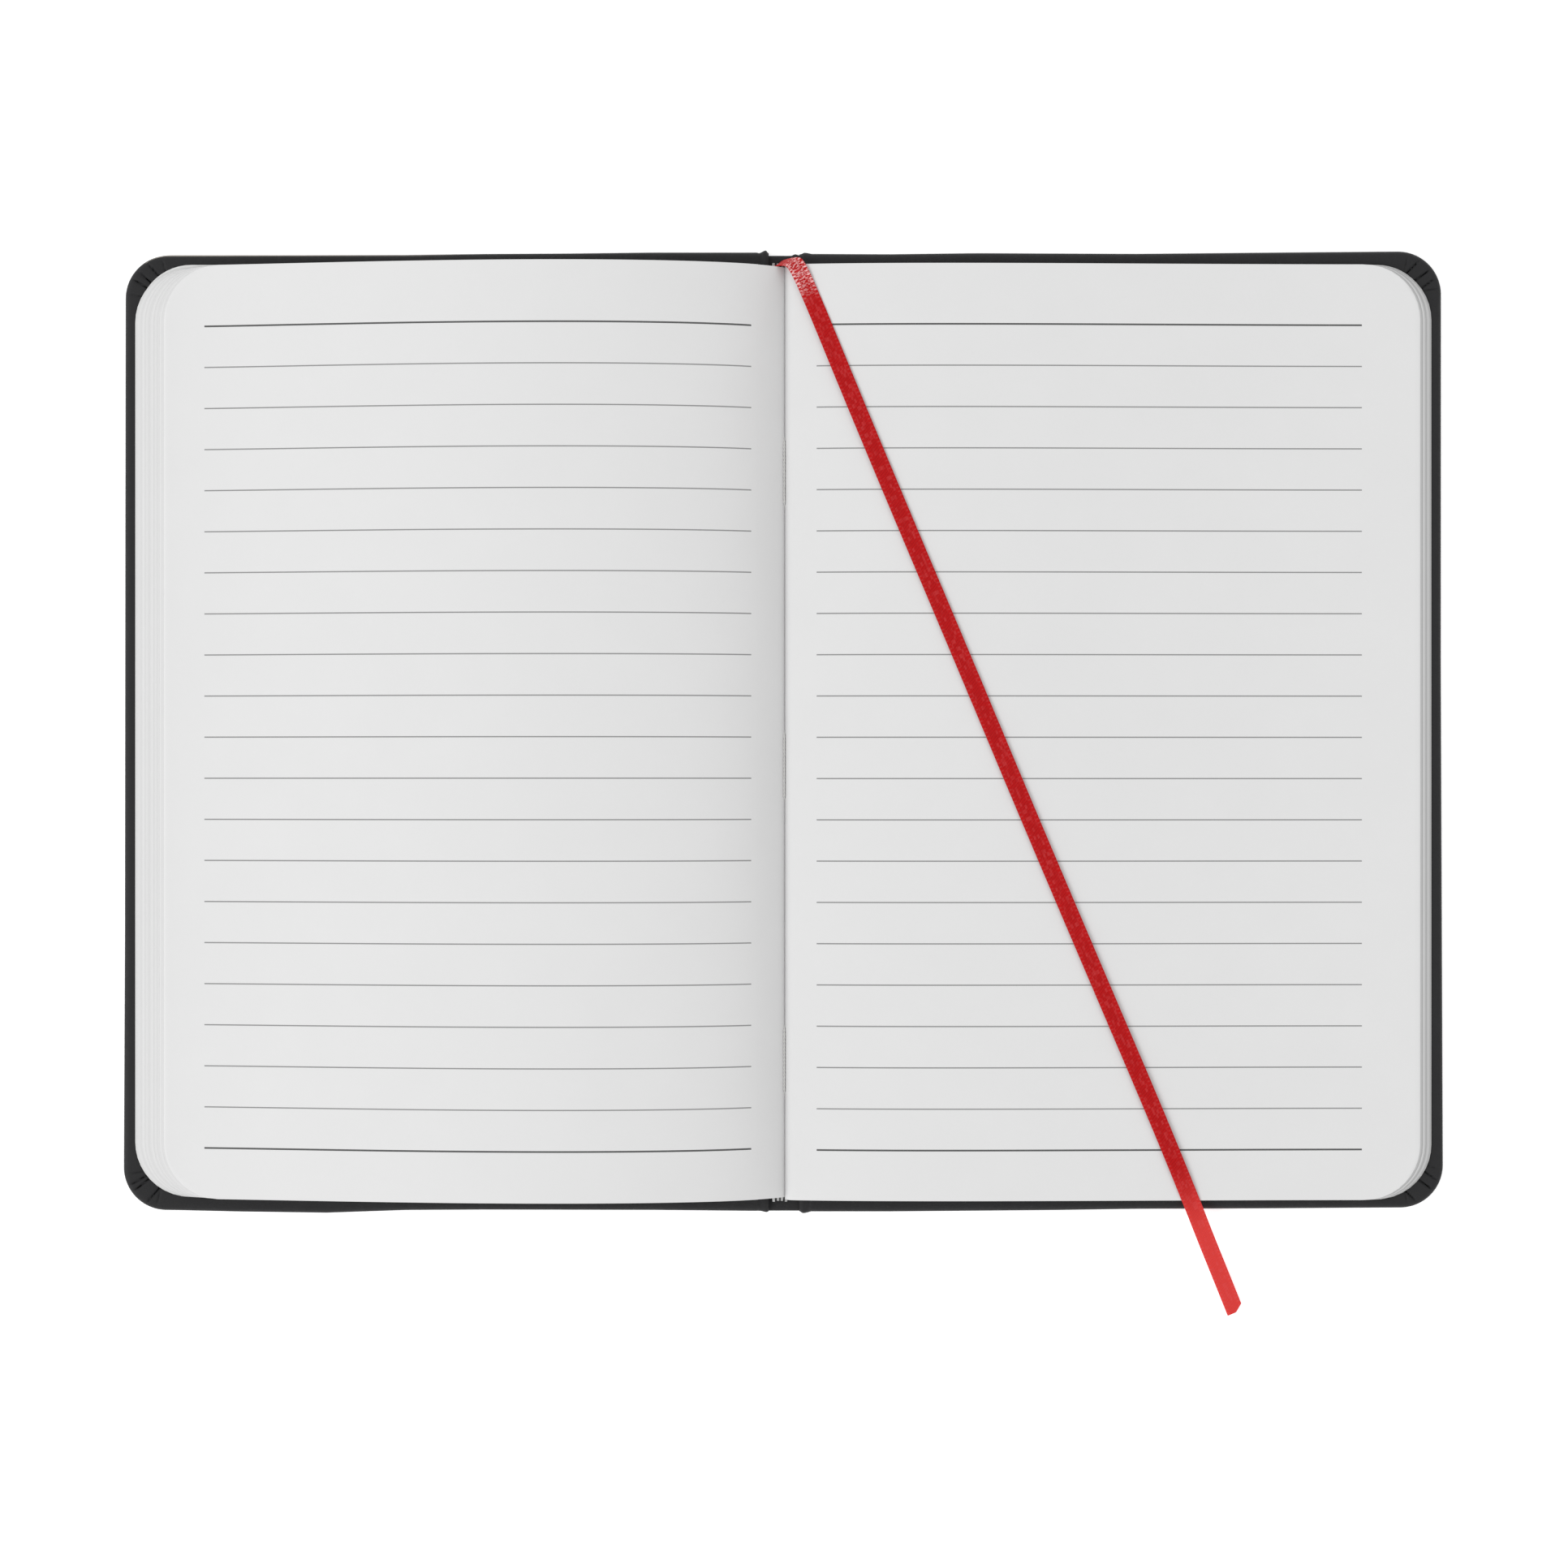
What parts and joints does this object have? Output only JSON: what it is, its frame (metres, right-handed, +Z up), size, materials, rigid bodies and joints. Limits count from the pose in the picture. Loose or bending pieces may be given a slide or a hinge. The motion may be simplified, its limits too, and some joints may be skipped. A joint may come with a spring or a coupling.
{
  "type": "pocket notebook",
  "caption": "Hardcover pocket notebook lying open, with a sewn block of ruled leaves, a soft skinned case on hinged covers and a ribbon marker laid across a page.",
  "frame": {"origin": "on the surface it lies on, under the middle of the open case (the ribbon left out)", "axes": "+X from the front cover to the back cover, +Y to the head of the pages, +Z up out of the open pages"},
  "size_m": [0.1982, 0.1603, 0.0136],
  "materials": {
    "cover_skin": "matte charcoal soft-touch skin with a very fine grain",
    "board": "grey bookbinding board",
    "endpaper": "plain white endpaper",
    "ruled_paper": "uncoated white paper with thin grey rules",
    "gauze": "open cotton gauze",
    "lining_paper": "brown kraft paper",
    "thread": "white sewing thread",
    "ribbon": "red satin ribbon"
  },
  "bodies": {
    "spine": {"spine_skin": "cover_skin", "spine_strip": "board", "spine_lining": "lining_paper", "spine_gauze": "gauze", "sewing_thread": "thread"},
    "front_cover": {"front_board": "board", "front_cover_skin": "cover_skin", "front_pastedown": "endpaper"},
    "back_cover": {"back_board": "board", "back_cover_skin": "cover_skin", "back_pastedown": "endpaper"},
    "first_signature": {"front_flyleaf": "endpaper", "signature_1": "ruled_paper"},
    "second_signature": {"signature_2": "ruled_paper"},
    "third_signature": {"signature_3": "ruled_paper"},
    "open_left_leaves": {"left_leaf_4": "ruled_paper", "left_leaf_3": "ruled_paper", "left_leaf_2": "ruled_paper", "centre_fold": "ruled_paper"},
    "turning_leaf": {"left_leaf_1": "ruled_paper"},
    "open_right_leaves": {"right_leaf_1": "ruled_paper", "right_leaf_2": "ruled_paper", "right_leaf_3": "ruled_paper", "right_leaf_4": "ruled_paper", "ribbon_marker": "ribbon"},
    "last_signature": {"signature_5": "ruled_paper", "back_flyleaf": "endpaper"}
  },
  "joints": [
    {"name": "front_cover_hinge", "type": "hinge", "parent": "spine", "child": "front_cover", "pos_m": [-0.00305, 0, 0.001], "axis": [0, 1, 0], "range_deg": [0, 90]},
    {"name": "back_cover_hinge", "type": "hinge", "parent": "spine", "child": "back_cover", "pos_m": [0.00305, 0, 0.001], "axis": [0, -1, 0], "range_deg": [0, 90]},
    {"name": "first_signature_turn", "type": "hinge", "parent": "spine", "child": "first_signature", "pos_m": [-0.00171, 0, 0.0021], "axis": [0, 1, 0], "range_deg": [0, 90], "deforming": ["front_flyleaf", "signature_1"]},
    {"name": "second_signature_turn", "type": "hinge", "parent": "spine", "child": "second_signature", "pos_m": [-0.00099, 0, 0.0021], "axis": [0, 1, 0], "range_deg": [0, 90], "deforming": ["signature_2"]},
    {"name": "third_signature_turn", "type": "hinge", "parent": "spine", "child": "third_signature", "pos_m": [-0.00027, 0, 0.0021], "axis": [0, 1, 0], "range_deg": [0, 90], "deforming": ["signature_3"]},
    {"name": "left_leaves_turn", "type": "hinge", "parent": "spine", "child": "open_left_leaves", "pos_m": [0.00027, 0, 0.0021], "axis": [0, 1, 0], "range_deg": [0, 90], "deforming": ["left_leaf_4", "left_leaf_3", "left_leaf_2", "centre_fold"]},
    {"name": "right_leaves_turn", "type": "hinge", "parent": "spine", "child": "open_right_leaves", "pos_m": [0.00063, 0, 0.0021], "axis": [0, -1, 0], "range_deg": [0, 90], "deforming": ["right_leaf_1", "right_leaf_2", "right_leaf_3", "right_leaf_4", "ribbon_marker"]},
    {"name": "last_signature_turn", "type": "hinge", "parent": "spine", "child": "last_signature", "pos_m": [0.00117, 0, 0.0021], "axis": [0, -1, 0], "range_deg": [0, 90], "deforming": ["signature_5", "back_flyleaf"]},
    {"name": "leaf_turn", "type": "hinge", "parent": "open_left_leaves", "child": "turning_leaf", "pos_m": [-0.0036, 0, 0.00658], "axis": [0, -1, 0], "range_deg": [-150, 0], "deforming": ["left_leaf_1"]}
  ],
  "couplings": [
    {"joint": "first_signature_turn", "follows": "front_cover_hinge", "ratio": 1},
    {"joint": "second_signature_turn", "follows": "front_cover_hinge", "ratio": 1},
    {"joint": "third_signature_turn", "follows": "front_cover_hinge", "ratio": 1},
    {"joint": "left_leaves_turn", "follows": "front_cover_hinge", "ratio": 1},
    {"joint": "right_leaves_turn", "follows": "back_cover_hinge", "ratio": 1},
    {"joint": "last_signature_turn", "follows": "back_cover_hinge", "ratio": 1}
  ]
}
